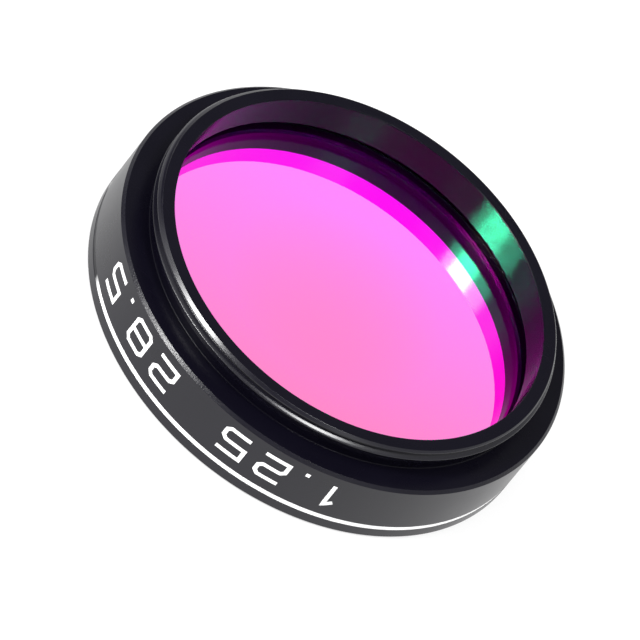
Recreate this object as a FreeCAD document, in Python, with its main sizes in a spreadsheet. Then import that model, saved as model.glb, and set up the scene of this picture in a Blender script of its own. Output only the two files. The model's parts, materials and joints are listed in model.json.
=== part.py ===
import FreeCAD, Part
import os
import Sketcher

# Screw-in optical filter: a turned ring, a coated glass disc and the threaded ring that clamps it.
# Millimetres. The axis is +Z, from the rear face at zero height towards the outside thread.

SIZES = {
    # outside thread, the size that the other radii follow
    "thread_radius": 14.25,
    "thread_reach": 2.02,
    "thread_lead": 0.32,
    # run-out groove between the thread and the shoulder
    "relief_depth": 0.37,
    "relief_width": 0.6,
    # outer wall of the ring
    "shoulder_width": 1.55,
    "barrel_height": 4.94,
    "barrel_edge": 0.2,
    "foot_edge": 0.15,
    # painted groove near the rear face
    "line_rise": 0.84,
    "line_width": 0.35,
    "line_depth": 0.06,
    # clear aperture through the boss, and the lip that the glass seats against
    "boss_wall": 1.15,
    "bore_edge": 0.12,
    "lip_edge": 0.05,
    "lip_thickness": 0.4,
    # threaded counterbore behind the lip
    "rear_step": 0.25,
    "mouth_edge": 0.15,
    # glass disc
    "glass_thickness": 1.85,
    "glass_bevel": 0.15,
    "glass_clearance": 0.1,
    # retaining ring
    "ring_recess": 0.6,
    "ring_bevel": 0.18,
    "ring_edge": 0.2,
    "ring_break": 0.1,
    "ring_clearance": 0.05,
    "notch_width": 1.5,
    "notch_depth": 0.8,
    "notch_count": 2,
}

# Sizes that follow from those above, so that pieces which fit share one value.
FOLLOWING = {
    "barrel_radius": "thread_radius + shoulder_width",
    "bore_radius": "thread_radius - boss_wall",
    "rear_radius": "thread_radius - rear_step",
    "overall_height": "barrel_height + thread_reach",
    "seat_height": "barrel_height - lip_thickness",
    "glass_radius": "rear_radius - glass_clearance",
    "glass_foot": "seat_height - glass_thickness",
    "ring_radius": "rear_radius - ring_clearance",
}

# a sketch's own axes: the level one starts at the origin
LEVEL, UPRIGHT = -1, -2


def fill_sheet(doc):
    """Driving sizes as plain numbers, then the sizes that follow from them as formulas."""
    sheet = doc.addObject("Spreadsheet::Sheet", "Sizes")
    rows = [(name, str(value)) for name, value in SIZES.items()]
    rows += [(name, "=" + formula) for name, formula in FOLLOWING.items()]
    for row, (name, content) in enumerate(rows, start=1):
        sheet.set(f"A{row}", name)
        sheet.set(f"B{row}", content)
        sheet.setAlias(f"B{row}", name)
    doc.recompute()
    return sheet


def bound(formula):
    """The formula with each of its sizes read from the sheet."""
    words = formula.split()
    return " ".join("Sizes." + word if word.isidentifier() else word for word in words)


def value_of(sheet, formula):
    """What a sum of named sizes comes to, for a sketch's first guess."""
    total, sign = 0.0, 1.0
    for word in formula.split():
        if word.isidentifier():
            total += sign * sheet.get(word)
        sign = -1.0 if word == "-" else 1.0
    return total


def plane_of(body, role):
    return next(feature for feature in body.Origin.OriginFeatures if feature.Role == role)


def new_sketch(body, name, role):
    sketch = body.newObject("Sketcher::SketchObject", name)
    sketch.AttachmentSupport = (plane_of(body, role), [""])
    sketch.MapMode = "FlatFace"
    return sketch


def closed_outline(sketch, sheet, corners):
    """Straight lines round the corners, each corner bound to two formulas of named sizes."""
    points = [FreeCAD.Vector(value_of(sheet, x), value_of(sheet, y), 0) for x, y in corners]
    count = len(points)
    for i, point in enumerate(points):
        sketch.addGeometry(Part.LineSegment(point, points[(i + 1) % count]), False)
    for i in range(count):
        sketch.addConstraint(Sketcher.Constraint("Coincident", i, 2, (i + 1) % count, 1))
    for i, corner in enumerate(corners):
        for kind, axis, formula in zip(("DistanceX", "DistanceY"), (UPRIGHT, LEVEL), corner):
            if formula == "0":
                sketch.addConstraint(Sketcher.Constraint("PointOnObject", i, 1, axis))
                continue
            first = value_of(sheet, formula)
            index = sketch.addConstraint(Sketcher.Constraint(kind, LEVEL, 1, i, 1, first))
            sketch.setExpression(f"Constraints[{index}]", bound(formula))


def turned_body(doc, sheet, label, corners):
    """A body revolved about the axis. Each corner of its section is a radius and a height."""
    body = doc.addObject("PartDesign::Body", label)
    body.Label = label
    section = new_sketch(body, label + "_section", "XZ_Plane")
    closed_outline(section, sheet, corners)
    revolution = body.newObject("PartDesign::Revolution", label + "_turning")
    revolution.Profile = section
    revolution.ReferenceAxis = (section, ["V_Axis"])
    revolution.Angle = 360
    doc.recompute()
    return body


def make_filter_cell(doc, sheet):
    """The ring with the outside thread's land, run-out groove, shoulder, lip and counterbore."""
    return turned_body(doc, sheet, "filter_cell", [
        ("bore_radius + lip_edge", "seat_height"),
        ("bore_radius", "seat_height + lip_edge"),
        ("bore_radius", "overall_height - bore_edge"),
        ("bore_radius + bore_edge", "overall_height"),
        ("thread_radius - thread_lead", "overall_height"),
        ("thread_radius", "overall_height - thread_lead"),
        ("thread_radius", "barrel_height + relief_width + relief_depth"),
        ("thread_radius - relief_depth", "barrel_height + relief_width"),
        ("thread_radius - relief_depth", "barrel_height"),
        ("barrel_radius - barrel_edge", "barrel_height"),
        ("barrel_radius", "barrel_height - barrel_edge"),
        ("barrel_radius", "line_rise + line_width"),
        ("barrel_radius - line_depth", "line_rise + line_width"),
        ("barrel_radius - line_depth", "line_rise"),
        ("barrel_radius", "line_rise"),
        ("barrel_radius", "foot_edge"),
        ("barrel_radius - foot_edge", "0"),
        ("rear_radius + mouth_edge", "0"),
        ("rear_radius", "mouth_edge"),
        ("rear_radius", "seat_height"),
    ])


def make_filter_glass(doc, sheet):
    """The coated disc, which touches the lip in front and the retaining ring behind."""
    return turned_body(doc, sheet, "filter_glass", [
        ("0", "glass_foot"),
        ("glass_radius - glass_bevel", "glass_foot"),
        ("glass_radius", "glass_foot + glass_bevel"),
        ("glass_radius", "seat_height - glass_bevel"),
        ("glass_radius - glass_bevel", "seat_height"),
        ("0", "seat_height"),
    ])


def make_retaining_ring(doc, sheet):
    """The ring screwed in from the rear, with notches for a pin spanner in its rear face."""
    body = turned_body(doc, sheet, "retaining_ring", [
        ("bore_radius + ring_edge", "ring_recess"),
        ("bore_radius", "ring_recess + ring_edge"),
        ("bore_radius", "glass_foot - ring_bevel"),
        ("bore_radius + ring_bevel", "glass_foot"),
        ("ring_radius - ring_break", "glass_foot"),
        ("ring_radius", "glass_foot - ring_break"),
        ("ring_radius", "ring_recess + ring_break"),
        ("ring_radius - ring_break", "ring_recess"),
    ])
    turned_volume = body.Shape.Volume
    cut_notches(body, sheet)
    if body.Shape.Volume >= turned_volume:
        raise RuntimeError("the notches cut nothing")
    return body


def cut_notches(body, sheet):
    """One notch from the bore outwards, milled up from the rear, and its copies round the axis."""
    width, reach = sheet.get("notch_width"), sheet.get("rear_radius")
    sketch = new_sketch(body, "notch_outline", "XY_Plane")
    corners = [(0, -width / 2), (reach, -width / 2), (reach, width / 2), (0, width / 2)]
    points = [FreeCAD.Vector(x, y, 0) for x, y in corners]
    for i, point in enumerate(points):
        sketch.addGeometry(Part.LineSegment(point, points[(i + 1) % 4]), False)
    for i in range(4):
        sketch.addConstraint(Sketcher.Constraint("Coincident", i, 2, (i + 1) % 4, 1))
    sketch.addConstraint(Sketcher.Constraint("Horizontal", 0))
    sketch.addConstraint(Sketcher.Constraint("Horizontal", 2))
    sketch.addConstraint(Sketcher.Constraint("Vertical", 3))
    sketch.addConstraint(Sketcher.Constraint("Symmetric", 1, 1, 1, 2, LEVEL))
    sketch.addConstraint(Sketcher.Constraint("PointOnObject", 0, 1, UPRIGHT))
    for constraint, formula in (
        (Sketcher.Constraint("DistanceX", LEVEL, 1, 0, 2, reach), "rear_radius"),
        (Sketcher.Constraint("DistanceY", 1, 1, 1, 2, width), "notch_width"),
    ):
        index = sketch.addConstraint(constraint)
        sketch.setExpression(f"Constraints[{index}]", bound(formula))
    notch = body.newObject("PartDesign::Pocket", "notch")
    notch.Profile = sketch
    notch.Reversed = True
    notch.setExpression("Length", bound("ring_recess + notch_depth"))
    body.Document.recompute()
    copies = body.newObject("PartDesign::PolarPattern", "notches")
    copies.Originals = [notch]
    copies.Axis = (sketch, ["N_Axis"])
    copies.Angle = 360
    copies.setExpression("Occurrences", bound("notch_count"))
    body.Tip = copies
    body.Document.recompute()


def check_and_write(doc, bodies):
    """Every object must have recomputed and every piece be one sound solid before any is written."""
    failed = [o.Name for o in doc.Objects if {"Invalid", "Error"} & set(o.State)]
    if failed:
        raise RuntimeError("not recomputed: " + ", ".join(failed))
    for body in bodies:
        shape = body.Shape
        if shape.isNull() or not shape.isValid() or len(shape.Solids) != 1:
            raise RuntimeError(body.Label + " isn't one sound solid")
    os.makedirs("parts", exist_ok=True)
    for body in bodies:
        body.Shape.exportStep(f"parts/{body.Label}.step")
        print(body.Label, round(body.Shape.Volume, 3), "mm3")


def main():
    doc = FreeCAD.newDocument("optical_filter")
    sheet = fill_sheet(doc)
    makers = (make_filter_cell, make_filter_glass, make_retaining_ring)
    check_and_write(doc, [make(doc, sheet) for make in makers])


main()
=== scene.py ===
import json
import math

import bmesh
import bpy
from mathutils import Matrix, Vector


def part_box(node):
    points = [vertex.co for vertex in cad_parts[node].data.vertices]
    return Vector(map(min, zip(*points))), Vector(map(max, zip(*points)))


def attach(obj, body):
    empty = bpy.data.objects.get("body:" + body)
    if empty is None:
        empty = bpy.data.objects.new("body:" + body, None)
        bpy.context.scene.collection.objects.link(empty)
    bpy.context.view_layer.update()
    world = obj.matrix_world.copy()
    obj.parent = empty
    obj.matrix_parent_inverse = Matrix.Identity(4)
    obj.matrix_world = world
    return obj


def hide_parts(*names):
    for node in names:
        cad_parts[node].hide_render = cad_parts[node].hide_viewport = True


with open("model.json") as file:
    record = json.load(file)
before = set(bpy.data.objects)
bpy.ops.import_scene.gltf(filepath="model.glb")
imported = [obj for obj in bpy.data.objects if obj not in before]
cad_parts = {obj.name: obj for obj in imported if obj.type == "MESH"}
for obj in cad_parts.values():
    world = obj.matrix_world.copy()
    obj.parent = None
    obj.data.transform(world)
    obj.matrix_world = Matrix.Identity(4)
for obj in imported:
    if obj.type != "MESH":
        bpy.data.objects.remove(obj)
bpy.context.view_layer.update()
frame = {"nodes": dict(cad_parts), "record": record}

# Sizes in millimetres, as on the drawing; meshes are made in metres.
MM = 0.001


def top_and_foot(node):
    low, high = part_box(node)
    return high.z / MM, low.z / MM


def reach(node):
    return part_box(node)[1].x / MM


# from the frame
OVERALL_HEIGHT, _ = top_and_foot("filter_cell")
SEAT_HEIGHT, GLASS_FOOT = top_and_foot("filter_glass")
_, RING_RECESS = top_and_foot("retaining_ring")
BARREL_RADIUS = reach("filter_cell")
GLASS_RADIUS = reach("filter_glass")
MOUNTS = {mount["name"]: mount for mount in frame["record"]["mounts"]}
THREAD_RADIUS = MOUNTS["outside_thread"]["dims"]["r_mm"]
BARREL_HEIGHT = MOUNTS["shoulder_face"]["pos_m"][2] / MM

# turned ring
BORE_RADIUS = 13.1
REAR_RADIUS = 14.0
BORE_EDGE = 0.05
LIP_EDGE = 0.05
BARREL_EDGE = 0.2
FOOT_EDGE = 0.15
MOUTH_EDGE = 0.15
WALL_INSET = 0.02          # the wall is this much inside the CAD box, so that the paint on it stays in it
LINE_RISE = 0.84
LINE_WIDTH = 0.35
LINE_DEPTH = 0.02          # of the paint, which nearly fills its groove
ROUNDING = 0.03            # every turned edge is broken by this much
LEVEL_SLACK = 0.001        # within which a face counts as level with the shoulder

# widths of the level strips beside the bore, at the seat and beside the run-out groove
RIM_STRIP = 0.35
SEAT_STRIP = 0.3
SHOULDER_STRIP = 0.4

# outside thread
THREAD_PITCH = 0.6
THREAD_DEPTH = 0.37
THREAD_LEAD = 0.32
THREAD_PHASE = 0.375       # where in the pitch, as a share of it, the crest begins at azimuth zero
THREAD_RUN_IN = 0.08       # share of a turn over which it grows to its full depth
CREST_SHARE = 0.1          # flats of the thread form, as shares of its pitch
ROOT_SHARE = 0.2
GROOVE_WIDTH = 0.6
GROOVE_FILLET = 0.09
END_DROP = 0.02            # the thread ends this far below the end face
END_BREAK = 0.04           # width of the broken edge there

# inner thread of the counterbore, of which a band shows behind the retaining ring
REAR_PITCH = 0.5
REAR_DEPTH = 0.2
REAR_START = 0.05          # above the mouth's edge
REAR_REACH = 0.6           # past the foot of the retaining ring

# glass
GLASS_BEVEL = 0.15
GLASS_ROUNDING = 0.02
GLASS_CENTRE = 0.001       # radius of the innermost points, which merge to one or two

# painted size numbers
DIGIT_HEIGHT = 2.15
DIGIT_WIDTH = 2.0
DIGIT_STROKE = 0.28
DIGIT_ADVANCE = 2.85
POINT_ADVANCE = 1.4
SPACE_ADVANCE = 3.4
DIGIT_FOOT = 4.13          # height of the base line; the numbers stand on their heads
DIGIT_MIDDLE = 261         # azimuth of the middle of the row
PAINT_RISE = 0.012
PAINT_SINK = 0.03          # of its underside into the wall
PAINT_LAYER = 0.002        # between strokes that cross

# meshes
STEPS = 360                # round the axis
MERGE_WITHIN = 0.002       # points closer than this merge
SLIVER = 0.001             # edges shorter than this are taken out
NEARLY_STRAIGHT = 0.05     # a corner that turns less than this, in radians, isn't broken
SIDE_SHARE = 0.45          # the most of a side that a broken corner takes up
MITRE_LIMIT = 0.6          # least cosine used at a stroke's corner, so that no mitre runs out far


def corner_arc(before, corner, after, radius, count=3):
    """Points of the small arc that breaks a corner of a turned section."""
    p, a, b = Vector(corner), Vector(before), Vector(after)
    to_a, to_b = (a - p).normalized(), (b - p).normalized()
    turn = math.pi - to_a.angle(to_b)
    if turn < NEARLY_STRAIGHT:
        return [p]
    back = min(radius * math.tan(turn / 2), (a - p).length * SIDE_SHARE, (b - p).length * SIDE_SHARE)
    start, end = p + to_a * back, p + to_b * back
    return [(1 - s) ** 2 * start + 2 * s * (1 - s) * p + s ** 2 * end
            for s in (i / count for i in range(count + 1))]


def rounded(section, radius=ROUNDING):
    """The section with all its inner corners broken."""
    points, last = [], len(section) - 1
    for i, corner in enumerate(section):
        if i in (0, last):
            points.append(Vector(corner))
        else:
            points += corner_arc(section[i - 1], corner, section[i + 1], radius)
    return points


def new_object(name, mesh_data, materials):
    piece = bpy.data.objects.new(name, mesh_data)
    bpy.context.scene.collection.objects.link(piece)
    for material in materials:
        mesh_data.materials.append(material)
    return piece


def turned_strip(mesh, section, slot):
    """Revolves an open section, given as radius and height, into smooth faces of one material."""
    rings = []
    for radius, height in section:
        rings.append([
            mesh.verts.new((radius * MM * math.cos(a), radius * MM * math.sin(a), height * MM))
            for a in (2 * math.pi * i / STEPS for i in range(STEPS))
        ])
    for low, high in zip(rings, rings[1:]):
        for i in range(STEPS):
            j = (i + 1) % STEPS
            face = mesh.faces.new((low[i], low[j], high[j], high[i]))
            face.material_index = slot
            face.smooth = True


def thread_strip(mesh, low_end, high_end, pitch, radius_at, slot, rows=16):
    """A helical surface between two heights: rows follow the helix and are cut off at both ends."""
    count = math.ceil((high_end - low_end) / pitch + 1) * rows
    lines = []
    for k in range(STEPS + 1):
        share = k / STEPS
        angle = 2 * math.pi * share
        line = []
        for row in range(count + 1):
            free = low_end + pitch * (row / rows + share - 1)
            height = min(max(free, low_end), high_end)
            radius = radius_at(height, (height - low_end) / pitch - share) * MM
            line.append(mesh.verts.new((radius * math.cos(angle), radius * math.sin(angle), height * MM)))
        lines.append(line)
    for k in range(STEPS):
        for row in range(count):
            a, b, c, d = lines[k][row], lines[k + 1][row], lines[k + 1][row + 1], lines[k][row + 1]
            face = mesh.faces.new((a, b, c, d))
            face.material_index = slot
            face.smooth = True


def finish_mesh(mesh, name):
    bmesh.ops.remove_doubles(mesh, verts=mesh.verts, dist=MERGE_WITHIN * MM)
    bmesh.ops.dissolve_degenerate(mesh, edges=mesh.edges, dist=SLIVER * MM)
    loose = [v for v in mesh.verts if not v.link_faces]
    bmesh.ops.delete(mesh, geom=loose, context="VERTS")
    bmesh.ops.recalc_face_normals(mesh, faces=mesh.faces)
    data = bpy.data.meshes.new(name)
    mesh.to_mesh(data)
    mesh.free()
    keep_flats(data)
    return data


def keep_flats(data):
    """Each corner takes the direction of its widest faces, so that flats stay flat beside a broken edge."""
    sums = [Vector() for _ in data.vertices]
    for face in data.polygons:
        for corner in face.vertices:
            sums[corner] += face.normal * (face.area / MM ** 2) ** 2
    data.normals_split_custom_set_from_vertices([total.normalized() for total in sums])


def thread_form(turns, soft=0.15):
    """Depth share of a thread form: 1 on the crests, which are at whole turns, and 0 in the root."""
    offset = abs((turns + 0.5) % 1.0 - 0.5)
    flank = 0.5 - (CREST_SHARE + ROOT_SHARE) / 2
    share = 1 - (offset - CREST_SHARE / 2) / flank
    if share <= -soft:
        return 0.0
    if share < soft:
        return (share + soft) ** 2 / (4 * soft)
    if share >= 1 + soft:
        return 1.0
    if share > 1 - soft:
        return 1 - (1 + soft - share) ** 2 / (4 * soft)
    return share


def build_cell(materials):
    wall, face, thread, bore, edge, paint, rear = range(7)
    mesh = bmesh.new()
    outer = BARREL_RADIUS - WALL_INSET
    groove_radius = THREAD_RADIUS - THREAD_DEPTH
    thread_low = BARREL_HEIGHT + GROOVE_WIDTH
    thread_top = OVERALL_HEIGHT - END_DROP
    rim_radius = THREAD_RADIUS - THREAD_LEAD + END_DROP
    line_bottom, line_top = LINE_RISE, LINE_RISE + LINE_WIDTH
    rear_low, rear_top = MOUTH_EDGE + REAR_START, RING_RECESS + REAR_REACH

    def outside(height, turns):
        """The thread between the groove's slope and the lead chamfer; its root closes at the end face."""
        from_start = (height - thread_low) / THREAD_PITCH - turns + math.floor(turns - THREAD_PHASE + 0.5)
        depth = THREAD_DEPTH * min(max(from_start / THREAD_RUN_IN, 0), 1)
        crest = groove_radius + depth * thread_form(turns - THREAD_PHASE)
        lead = rim_radius + (thread_top - height)
        slope = groove_radius + (height - thread_low)
        return max(min(crest, lead, slope), rim_radius - 2 * (thread_top - height))

    def inside(height, turns):
        """The inner thread, which runs out to nothing at both ends of its band."""
        ends = min(height - rear_low, rear_top - height)
        return REAR_RADIUS + min(REAR_DEPTH * thread_form(turns), ends)

    turned_strip(mesh, rounded([
        (BORE_RADIUS + SEAT_STRIP, SEAT_HEIGHT),
        (BORE_RADIUS + LIP_EDGE, SEAT_HEIGHT),
        (BORE_RADIUS, SEAT_HEIGHT + LIP_EDGE),
        (BORE_RADIUS, OVERALL_HEIGHT - BORE_EDGE),
        (BORE_RADIUS + BORE_EDGE, OVERALL_HEIGHT),
        (BORE_RADIUS + RIM_STRIP, OVERALL_HEIGHT),
    ]), bore)
    turned_strip(mesh, [
        (BORE_RADIUS + RIM_STRIP, OVERALL_HEIGHT),
        (rim_radius - END_BREAK, OVERALL_HEIGHT),
        (rim_radius, thread_top),
    ], face)
    thread_strip(mesh, thread_low, thread_top, THREAD_PITCH, outside, thread)
    groove_end = (groove_radius + SHOULDER_STRIP, BARREL_HEIGHT)
    turned_strip(mesh, [
        (groove_radius, thread_low),
        *corner_arc((groove_radius, thread_low), (groove_radius, BARREL_HEIGHT), groove_end,
                    GROOVE_FILLET, count=5),
        groove_end,
    ], face)
    turned_strip(mesh, rounded([
        groove_end,
        (outer - BARREL_EDGE, BARREL_HEIGHT),
        (outer, BARREL_HEIGHT - BARREL_EDGE),
        (outer, line_top),
        (outer - LINE_DEPTH, line_top),
    ], ROUNDING / 2), wall)
    turned_strip(mesh, [(outer - LINE_DEPTH, line_top), (outer - LINE_DEPTH, line_bottom)], paint)
    turned_strip(mesh, rounded([
        (outer - LINE_DEPTH, line_bottom),
        (outer, line_bottom),
        (outer, FOOT_EDGE),
        (outer - FOOT_EDGE, 0),
        (REAR_RADIUS + MOUTH_EDGE, 0),
        (REAR_RADIUS, MOUTH_EDGE),
        (REAR_RADIUS, rear_low),
    ], ROUNDING / 2), wall)
    thread_strip(mesh, rear_low, rear_top, REAR_PITCH, inside, rear)
    turned_strip(mesh, [
        (REAR_RADIUS, rear_top),
        (REAR_RADIUS, SEAT_HEIGHT),
        (BORE_RADIUS + SEAT_STRIP, SEAT_HEIGHT),
    ], rear)
    # the shoulder and the bore's rim have the end face's finish, the barrel's edge its own
    for part in mesh.faces:
        centre = part.calc_center_median() / MM
        if part.material_index == wall and centre.z > BARREL_HEIGHT - LEVEL_SLACK:
            part.material_index = face
        elif part.material_index == wall and centre.z > BARREL_HEIGHT - BARREL_EDGE:
            part.material_index = edge
        elif part.material_index == bore and centre.z > OVERALL_HEIGHT - BORE_EDGE - ROUNDING:
            part.material_index = face
    paint_numbers(mesh, outer, paint)
    cell = new_object("filter_cell_turned", finish_mesh(mesh, "filter_cell_turned"), materials)
    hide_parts("filter_cell")
    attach(cell, "root")


# Centre lines of the plain figures, in shares of their width and height.
FIGURES = {
    "1": [[(0.3, 0.8), (0.6, 1), (0.6, 0)]],
    "2": [[(0, 1), (0.85, 1), (1, 0.88), (1, 0.62), (0.85, 0.5), (0.15, 0.5), (0, 0.38), (0, 0), (1, 0)]],
    "5": [[(1, 1), (0, 1), (0, 0.52), (0.85, 0.52), (1, 0.4), (1, 0.12), (0.85, 0), (0, 0)]],
    "8": [[(0.5, 1), (0.85, 1), (1, 0.88), (1, 0.12), (0.85, 0), (0.15, 0), (0, 0.12), (0, 0.88),
           (0.15, 1), (0.5, 1)],
          [(0.08, 0.5), (0.92, 0.5)]],
}


def even_steps(line, step=0.2):
    """The line with points added, so that it can follow the round wall."""
    points = [line[0]]
    for start, end in zip(line, line[1:]):
        count = max(1, math.ceil((end - start).length / step))
        points += [start.lerp(end, i / count) for i in range(1, count + 1)]
    return points


def stroke(mesh, line, place, slot, lift):
    """A painted band along a line: a thin closed bar whose underside is sunk into the wall."""
    points = even_steps(line)
    closed = (points[0] - points[-1]).length < 1e-6
    if closed:
        points.pop()
    count, bars = len(points), []
    for i, point in enumerate(points):
        before = points[i - 1] if closed or i else point - (points[1] - point)
        after = points[(i + 1) % count] if closed or i < count - 1 else point + (point - points[i - 1])
        a, b = (point - before).normalized(), (after - point).normalized()
        side = Vector((-(a + b).y, (a + b).x)).normalized()
        side *= DIGIT_STROKE / 2 / max(side.dot(Vector((-a.y, a.x))), MITRE_LIMIT)
        bars.append([mesh.verts.new(place(point + side * s, rise))
                     for s, rise in ((1, lift), (-1, lift), (-1, -PAINT_SINK), (1, -PAINT_SINK))])
    for i in range(count if closed else count - 1):
        j = (i + 1) % count
        for k in range(4):
            m = (k + 1) % 4
            mesh.faces.new((bars[i][k], bars[j][k], bars[j][m], bars[i][m])).material_index = slot
    if not closed:
        for end in (bars[0], bars[-1]):
            mesh.faces.new(end).material_index = slot


def paint_numbers(mesh, outer, slot):
    """Plain size numbers round the wall, the thread's in inches and in millimetres."""
    text = "1.25 28.5"
    advances = [{".": POINT_ADVANCE, " ": SPACE_ADVANCE}.get(c, DIGIT_ADVANCE) for c in text]
    along = -sum(advances) / 2
    inner_width, inner_height = DIGIT_WIDTH - DIGIT_STROKE, DIGIT_HEIGHT - DIGIT_STROKE
    for character, advance in zip(text, advances):
        middle = along + advance / 2
        along += advance

        def place(point, rise):
            angle = math.radians(DIGIT_MIDDLE) - (middle + point.x) / outer
            radius = outer + rise
            return (radius * MM * math.cos(angle), radius * MM * math.sin(angle),
                    (DIGIT_FOOT - DIGIT_STROKE / 2 - point.y) * MM)

        if character == ".":
            dot = [Vector((-DIGIT_STROKE / 2, 0)), Vector((DIGIT_STROKE / 2, 0))]
            stroke(mesh, dot, place, slot, PAINT_RISE)
        for number, line in enumerate(FIGURES.get(character, [])):
            points = [Vector(((x - 0.5) * inner_width, y * inner_height)) for x, y in line]
            stroke(mesh, points, place, slot, PAINT_RISE - PAINT_LAYER * number)


def build_glass(materials):
    clear, coat = range(2)
    mesh = bmesh.new()
    section = rounded([
        (GLASS_CENTRE, SEAT_HEIGHT),
        (GLASS_RADIUS - GLASS_BEVEL, SEAT_HEIGHT),
        (GLASS_RADIUS, SEAT_HEIGHT - GLASS_BEVEL),
        (GLASS_RADIUS, GLASS_FOOT + GLASS_BEVEL),
        (GLASS_RADIUS - GLASS_BEVEL, GLASS_FOOT),
    ], GLASS_ROUNDING)
    turned_strip(mesh, section, clear)
    turned_strip(mesh, [section[-1], (GLASS_CENTRE, GLASS_FOOT)], coat)
    glass = new_object("filter_glass_coated", finish_mesh(mesh, "filter_glass_coated"), materials)
    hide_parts("filter_glass")
    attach(glass, "root")


# materials; lengths in a material are in metres
WHITE = (1, 1, 1, 1)
BLACK_DEEP = (0.0026, 0.0022, 0.0056)      # tints between which the anodising drifts
BLACK_PALE = (0.0044, 0.0038, 0.0094)
LINE_DARK_ARC_COLOUR = (0.004, 0.004, 0.007, 1)       # the colour, as dark as the anodising, over a short arc round the wall
DARK_ARC_WAY = (-0.9205, -0.3907, 0)           # towards azimuth 203, the middle of that dark arc
DARK_ARC_FROM, DARK_ARC_FULL = 0.955, 0.97         # cosines of the angle from there, where the darkening starts and where it is whole
SIDE_SHADE_FROM, SIDE_SHADE_GONE = 0.0105, 0.013     # places along +Y between which the painted shade on the bore's sides fades, from half its shine to all of it
GLASS_IOR = 1.517
FRONT_IOR = 1.12                           # gives the front face the slight reflection of a coated one
COAT_REFLECTS = (0.05, 0.85, 0.56, 1)
COAT_SHADE = (1, 0.004, 0.7, 1)            # light that passes it, for shadows
# blue that the coat passes: a base, a slope along one direction, and a rise with the square of
# the distance from the origin, which ends at a reach
BLUE_BASE = 0.53
BLUE_WAY = (-0.26, 0.97, 0)
BLUE_SLOPE = 24.0
BLUE_RISE = 2000.0
BLUE_REACH = 0.008


def new_material(name):
    material = bpy.data.materials.new(name)
    material.use_nodes = True
    tree = material.node_tree
    tree.nodes.clear()
    output = tree.nodes.new("ShaderNodeOutputMaterial")
    return material, tree, output


def add(tree, kind, inputs=None, **settings):
    node = tree.nodes.new(kind)
    for name, value in settings.items():
        setattr(node, name, value)
    for key, value in (inputs or {}).items():
        socket = node.inputs[key]
        if isinstance(value, bpy.types.NodeSocket):
            tree.links.new(value, socket)
        else:
            socket.default_value = value
    return node


def anodised(name, roughness, spread, specular, mark=0.0, depth=1.0, warm_and_side_shaded=False):
    """Black anodised aluminium: a fine grain as bump, and roughness that drifts a little.

    The mark is the grain's strength, and the depth scales the tint. With the last flag, for the bore,
    the shine is warmer, and half of it is lost away from its +Y side: painted shade on the bore's sides.
    """
    material, tree, output = new_material(name)
    place = add(tree, "ShaderNodeTexCoord").outputs["Object"]
    drift = add(tree, "ShaderNodeTexNoise", {"Vector": place, "Scale": 220.0, "Detail": 3.0})
    rough = add(tree, "ShaderNodeMapRange", {
        "Value": drift.outputs["Fac"], "From Min": 0.3, "From Max": 0.7,
        "To Min": roughness - spread, "To Max": roughness + spread})
    tint = add(tree, "ShaderNodeMixRGB", {
        "Fac": drift.outputs["Fac"],
        "Color1": (*(level * depth for level in BLACK_DEEP), 1),
        "Color2": (*(level * depth for level in BLACK_PALE), 1)})
    shader = add(tree, "ShaderNodeBsdfPrincipled", {
        "Base Color": tint.outputs["Color"], "Roughness": rough.outputs["Result"], "IOR": 1.5,
        "Specular IOR Level": specular, "Specular Tint": (1, 1, 0.68 if warm_and_side_shaded else 1, 1)})
    if mark:
        grain = add(tree, "ShaderNodeTexNoise", {"Vector": place, "Scale": 9000.0, "Detail": 2.0})
        bump = add(tree, "ShaderNodeBump", {
            "Strength": mark, "Distance": 0.00002, "Height": grain.outputs["Fac"]})
        tree.links.new(bump.outputs["Normal"], shader.inputs["Normal"])
    surface = shader.outputs[0]
    # painted shade: away from the +Y side of the bore, half of the shine is swapped for matt black
    if warm_and_side_shaded:
        split = add(tree, "ShaderNodeSeparateXYZ", {"Vector": place})
        unshaded_share = add(tree, "ShaderNodeMapRange", {
            "Value": split.outputs["Y"], "From Min": SIDE_SHADE_FROM, "From Max": SIDE_SHADE_GONE,
            "To Min": 0.5, "To Max": 1.0})
        matt = add(tree, "ShaderNodeBsdfDiffuse", {"Color": tint.outputs["Color"]})
        surface = add(tree, "ShaderNodeMixShader", {
            0: unshaded_share.outputs["Result"], 1: matt.outputs[0], 2: surface}).outputs[0]
    tree.links.new(surface, output.inputs["Surface"])
    return material


def painted(name, level):
    """Paint a little uneven in tone, and as dark as the anodising over a short arc round azimuth 203."""
    material, tree, output = new_material(name)
    place = add(tree, "ShaderNodeTexCoord").outputs["Object"]
    worn = add(tree, "ShaderNodeTexNoise", {"Vector": place, "Scale": 1500.0, "Detail": 4.0})
    tint = add(tree, "ShaderNodeMixRGB", {
        "Fac": worn.outputs["Fac"],
        "Color1": (level * 0.9, level * 0.9, level * 0.9, 1), "Color2": (level, level, level, 1)})
    rough = add(tree, "ShaderNodeMapRange", {
        "Value": worn.outputs["Fac"], "To Min": 0.4, "To Max": 0.6})
    way = add(tree, "ShaderNodeVectorMath", {0: place}, operation="NORMALIZE")
    near = add(tree, "ShaderNodeVectorMath", {
        0: way.outputs["Vector"], 1: DARK_ARC_WAY}, operation="DOT_PRODUCT")
    # the paint goes as dark as the anodising over a short arc round azimuth 203
    dark_arc = add(tree, "ShaderNodeMapRange", {
        "Value": near.outputs["Value"], "From Min": DARK_ARC_FROM, "From Max": DARK_ARC_FULL})
    line_colour = add(tree, "ShaderNodeMixRGB", {
        "Fac": dark_arc.outputs["Result"], "Color1": tint.outputs["Color"], "Color2": LINE_DARK_ARC_COLOUR})
    shader = add(tree, "ShaderNodeBsdfPrincipled", {
        "Base Color": line_colour.outputs["Color"], "Roughness": rough.outputs["Result"]})
    tree.links.new(shader.outputs[0], output.inputs["Surface"])
    return material


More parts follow.
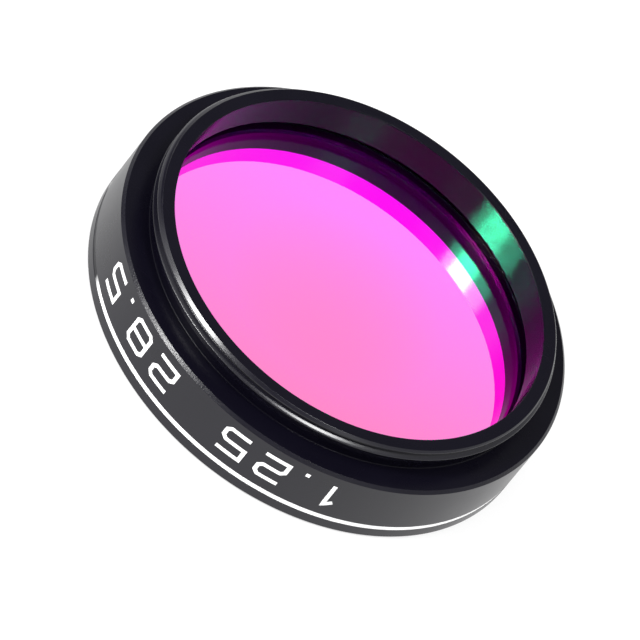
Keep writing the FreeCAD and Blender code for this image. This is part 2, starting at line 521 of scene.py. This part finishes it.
def polish(tree, place):
    """Roughness of polished glass, which is hardly there and drifts."""
    drift = add(tree, "ShaderNodeTexNoise", {"Vector": place, "Scale": 150.0, "Detail": 2.0})
    rough = add(tree, "ShaderNodeMapRange", {
        "Value": drift.outputs["Fac"], "To Min": 0.0, "To Max": 0.01})
    return rough.outputs["Result"]


def shadowed(tree, output, body, passed):
    """Lets tinted light through to what lies behind, for shadows."""
    light = add(tree, "ShaderNodeLightPath")
    shade = add(tree, "ShaderNodeBsdfTransparent", {"Color": passed})
    mix = add(tree, "ShaderNodeMixShader", {
        0: light.outputs["Is Shadow Ray"], 1: body, 2: shade.outputs[0]})
    tree.links.new(mix.outputs[0], output.inputs["Surface"])


def clear_face():
    """The uncoloured faces, with a coat that leaves almost no reflection."""
    material, tree, output = new_material("clear_face")
    place = add(tree, "ShaderNodeTexCoord").outputs["Object"]
    rough = polish(tree, place)
    through = add(tree, "ShaderNodeBsdfRefraction", {"Color": WHITE, "Roughness": rough, "IOR": GLASS_IOR})
    back = add(tree, "ShaderNodeBsdfGlossy", {"Color": WHITE, "Roughness": rough})
    fresnel = add(tree, "ShaderNodeFresnel", {"IOR": FRONT_IOR})
    body = add(tree, "ShaderNodeMixShader", {
        0: fresnel.outputs[0], 1: through.outputs[0], 2: back.outputs[0]})
    shadowed(tree, output, body.outputs[0], WHITE)
    return material


def coated_face():
    """The rear face: it passes magenta, bluer towards the far edge, and reflects green."""
    material, tree, output = new_material("coated_face")
    place = add(tree, "ShaderNodeTexCoord").outputs["Object"]
    rough = polish(tree, place)
    along = add(tree, "ShaderNodeVectorMath", {0: place, 1: BLUE_WAY}, operation="DOT_PRODUCT")
    slope = add(tree, "ShaderNodeMath", {
        0: along.outputs["Value"], 1: BLUE_SLOPE, 2: BLUE_BASE}, operation="MULTIPLY_ADD")
    distance = add(tree, "ShaderNodeVectorMath", {0: place}, operation="LENGTH")
    near = add(tree, "ShaderNodeMath", {0: distance.outputs["Value"], 1: BLUE_REACH}, operation="MINIMUM")
    square = add(tree, "ShaderNodeMath", {0: near.outputs[0], 1: near.outputs[0]}, operation="MULTIPLY")
    blue = add(tree, "ShaderNodeMath", {
        0: square.outputs[0], 1: BLUE_RISE, 2: slope.outputs[0]}, operation="MULTIPLY_ADD", use_clamp=True)
    passed = add(tree, "ShaderNodeCombineColor", {"Red": 1.0, "Green": 0.0005, "Blue": blue.outputs[0]})
    through = add(tree, "ShaderNodeBsdfRefraction", {
        "Color": passed.outputs[0], "Roughness": rough, "IOR": GLASS_IOR})
    back = add(tree, "ShaderNodeBsdfGlossy", {"Color": COAT_REFLECTS, "Roughness": rough})
    body = add(tree, "ShaderNodeAddShader", {0: through.outputs[0], 1: back.outputs[0]})
    shadowed(tree, output, body.outputs[0], COAT_SHADE)
    return material


def seen_by(tree):
    """The kinds of ray, and a value that is 1 for reflected and refracted ones."""
    light = add(tree, "ShaderNodeLightPath")
    both = add(tree, "ShaderNodeMath", {
        0: light.outputs["Is Glossy Ray"], 1: light.outputs["Is Transmission Ray"]}, operation="MAXIMUM")
    return light, both.outputs[0]


def floor_material():
    """A pale floor that the camera sees as white, with the object's shadow on it."""
    material, tree, output = new_material("pale_floor")
    light, mirrored = seen_by(tree)
    plain = add(tree, "ShaderNodeBsdfDiffuse", {"Color": (0.8, 0.8, 0.8, 1)})
    dim = add(tree, "ShaderNodeBsdfDiffuse", {"Color": (0.3, 0.3, 0.3, 1)})
    glow = add(tree, "ShaderNodeEmission", {"Color": WHITE, "Strength": 0.66})
    white = add(tree, "ShaderNodeEmission", {"Color": WHITE, "Strength": 1.0})
    shown = add(tree, "ShaderNodeAddShader", {0: glow.outputs[0], 1: dim.outputs[0]})
    first = add(tree, "ShaderNodeMixShader", {
        0: light.outputs["Is Camera Ray"], 1: plain.outputs[0], 2: shown.outputs[0]})
    second = add(tree, "ShaderNodeMixShader", {0: mirrored, 1: first.outputs[0], 2: white.outputs[0]})
    tree.links.new(second.outputs[0], output.inputs["Surface"])
    return material


def build_floor():
    mesh = bmesh.new()
    bmesh.ops.create_grid(mesh, x_segments=1, y_segments=1, size=3.0)
    data = bpy.data.meshes.new("floor")
    mesh.to_mesh(data)
    mesh.free()
    floor = new_object("floor", data, [floor_material()])


# Light of the studio walls by azimuth: grey, two dark flags, and a bright strip at either side.
WALL_LIGHT = (
    (0, 0.47), (40, 0.42), (56, 0.3), (70, 0.12), (84, 0.3), (96, 0.3), (110, 0.45), (126, 0.2),
    (136, 0.03), (162, 0.03), (174, 0.4), (183, 1.3), (196, 1.3), (203, 0.4), (254, 0.24), (264, 0.04),
    (286, 0.07), (304, 0.25), (312, 1.0), (324, 1.0), (332, 0.48), (360, 0.47),
)
ZENITH_GREY = (0.45, 0.45, 0.45, 1)

# Soft boxes: name, azimuth, elevation, width and height in degrees as seen from the object, and radiance.
LAMPS = (
    ("key", 222.6, 42, 12.5, 10, 52),
    ("key_glow", 218.5, 41, 30, 16, 14),
    ("top", 325, 73, 16, 14, 26),
)

# Camera: place in metres, lens in millimetres, and the two turns that aim it.
CAMERA_PLACE = (0.0000306, -0.532954, 0.485812)
CAMERA_LENS = 641.24
CAMERA_TILT = math.radians(47.7287)
CAMERA_ROLL = math.radians(38.738)


def build_world():
    """White to the camera and to matt surfaces; a studio with walls to mirrored and refracted rays."""
    world = bpy.data.worlds.new("studio")
    bpy.context.scene.world = world
    world.use_nodes = True
    tree = world.node_tree
    tree.nodes.clear()
    output = tree.nodes.new("ShaderNodeOutputWorld")
    light, mirrored = seen_by(tree)
    way = add(tree, "ShaderNodeTexCoord").outputs["Generated"]
    split = add(tree, "ShaderNodeSeparateXYZ", {"Vector": way})
    turn = add(tree, "ShaderNodeMath", {0: split.outputs["Y"], 1: split.outputs["X"]}, operation="ARCTAN2")
    turns = add(tree, "ShaderNodeMath", {0: turn.outputs[0], 1: 2 * math.pi}, operation="DIVIDE")
    share = add(tree, "ShaderNodeMath", {0: turns.outputs[0]}, operation="FRACT")
    ramp = add(tree, "ShaderNodeValToRGB", {"Fac": share.outputs[0]})
    elements = ramp.color_ramp.elements
    while len(elements) < len(WALL_LIGHT):
        elements.new(0.5)
    for element, (azimuth, level) in zip(elements, WALL_LIGHT):
        element.position = azimuth / 360
        element.color = (level, level, level, 1)
    # the walls fade to white towards the horizon
    rise = add(tree, "ShaderNodeMapRange", {
        "Value": split.outputs["Z"], "From Min": 0.1, "From Max": 0.4, "To Min": 1.0, "To Max": 0.0})
    walls = add(tree, "ShaderNodeMixRGB", {
        "Fac": rise.outputs["Result"], "Color1": ramp.outputs["Color"], "Color2": WHITE})
    # the walls' bands end before the zenith, where they would meet in a star
    height = add(tree, "ShaderNodeMapRange", {
        "Value": split.outputs["Z"], "From Min": 0.75, "From Max": 0.9, "To Min": 0.0, "To Max": 1.0})
    sky = add(tree, "ShaderNodeMixRGB", {
        "Fac": height.outputs["Result"], "Color1": walls.outputs["Color"], "Color2": ZENITH_GREY})
    # the light on matt surfaces and the white that the camera sees are set apart, and are equal here
    plain = add(tree, "ShaderNodeBackground", {"Color": WHITE, "Strength": 1.0})
    white = add(tree, "ShaderNodeBackground", {"Color": WHITE, "Strength": 1.0})
    studio = add(tree, "ShaderNodeBackground", {"Color": sky.outputs["Color"], "Strength": 1.0})
    first = add(tree, "ShaderNodeMixShader", {
        0: light.outputs["Is Camera Ray"], 1: plain.outputs[0], 2: white.outputs[0]})
    second = add(tree, "ShaderNodeMixShader", {0: mirrored, 1: first.outputs[0], 2: studio.outputs[0]})
    tree.links.new(second.outputs[0], output.inputs["Surface"])


def add_lamp(name, azimuth, elevation, width, height, radiance, distance=0.5):
    """A soft box that faces the object; its width and height are angles seen from it."""
    a, e = math.radians(azimuth), math.radians(elevation)
    way = Vector((math.cos(a) * math.cos(e), math.sin(a) * math.cos(e), math.sin(e)))
    data = bpy.data.lights.new(name, "AREA")
    data.shape = "ELLIPSE"
    data.size = 2 * distance * math.tan(math.radians(width) / 2)
    data.size_y = 2 * distance * math.tan(math.radians(height) / 2)
    area = math.pi * data.size * data.size_y / 4
    data.energy = radiance * math.pi * area
    lamp = bpy.data.objects.new(name, data)
    lamp.location = way * distance
    lamp.rotation_mode = "QUATERNION"
    lamp.rotation_quaternion = way.to_track_quat("Z", "Y")
    bpy.context.scene.collection.objects.link(lamp)


def build_camera():
    """The photograph's view: from far off, tilted down, and rolled."""
    data = bpy.data.cameras.new("camera")
    data.sensor_width = 36.0
    data.lens = CAMERA_LENS
    data.clip_start, data.clip_end = 0.05, 20.0
    camera = bpy.data.objects.new("camera", data)
    tilt = Matrix.Rotation(CAMERA_TILT, 4, "X")
    roll = Matrix.Rotation(CAMERA_ROLL, 4, "Z")
    camera.matrix_world = Matrix.Translation(CAMERA_PLACE) @ tilt @ roll
    bpy.context.scene.collection.objects.link(camera)
    bpy.context.scene.camera = camera


build_cell([
    anodised("anodised_wall", 0.3, 0.03, 0.58, mark=0.2),
    anodised("anodised_face", 0.28, 0.03, 0.14, mark=0.2, depth=0.75),
    anodised("anodised_thread", 0.23, 0.03, 0.7),
    # the bore carries painted shade on its sides, where its shine is halved
    anodised("anodised_bore", 0.13, 0.008, 0.3, mark=0.03, depth=0.7, warm_and_side_shaded=True),
    anodised("anodised_edge", 0.3, 0.05, 0.35, mark=0.7),
    painted("white_paint", 0.93),
    anodised("anodised_rear", 0.3, 0.03, 0.4),
])
build_glass([clear_face(), coated_face()])
ring = frame["nodes"]["retaining_ring"]
ring.data.materials.clear()
ring.data.materials.append(anodised("anodised_retainer", 0.3, 0.03, 0.2, mark=0.2))

build_floor()
build_world()
for lamp in LAMPS:
    add_lamp(*lamp)
build_camera()

scene = bpy.context.scene
scene.view_settings.view_transform = "Standard"
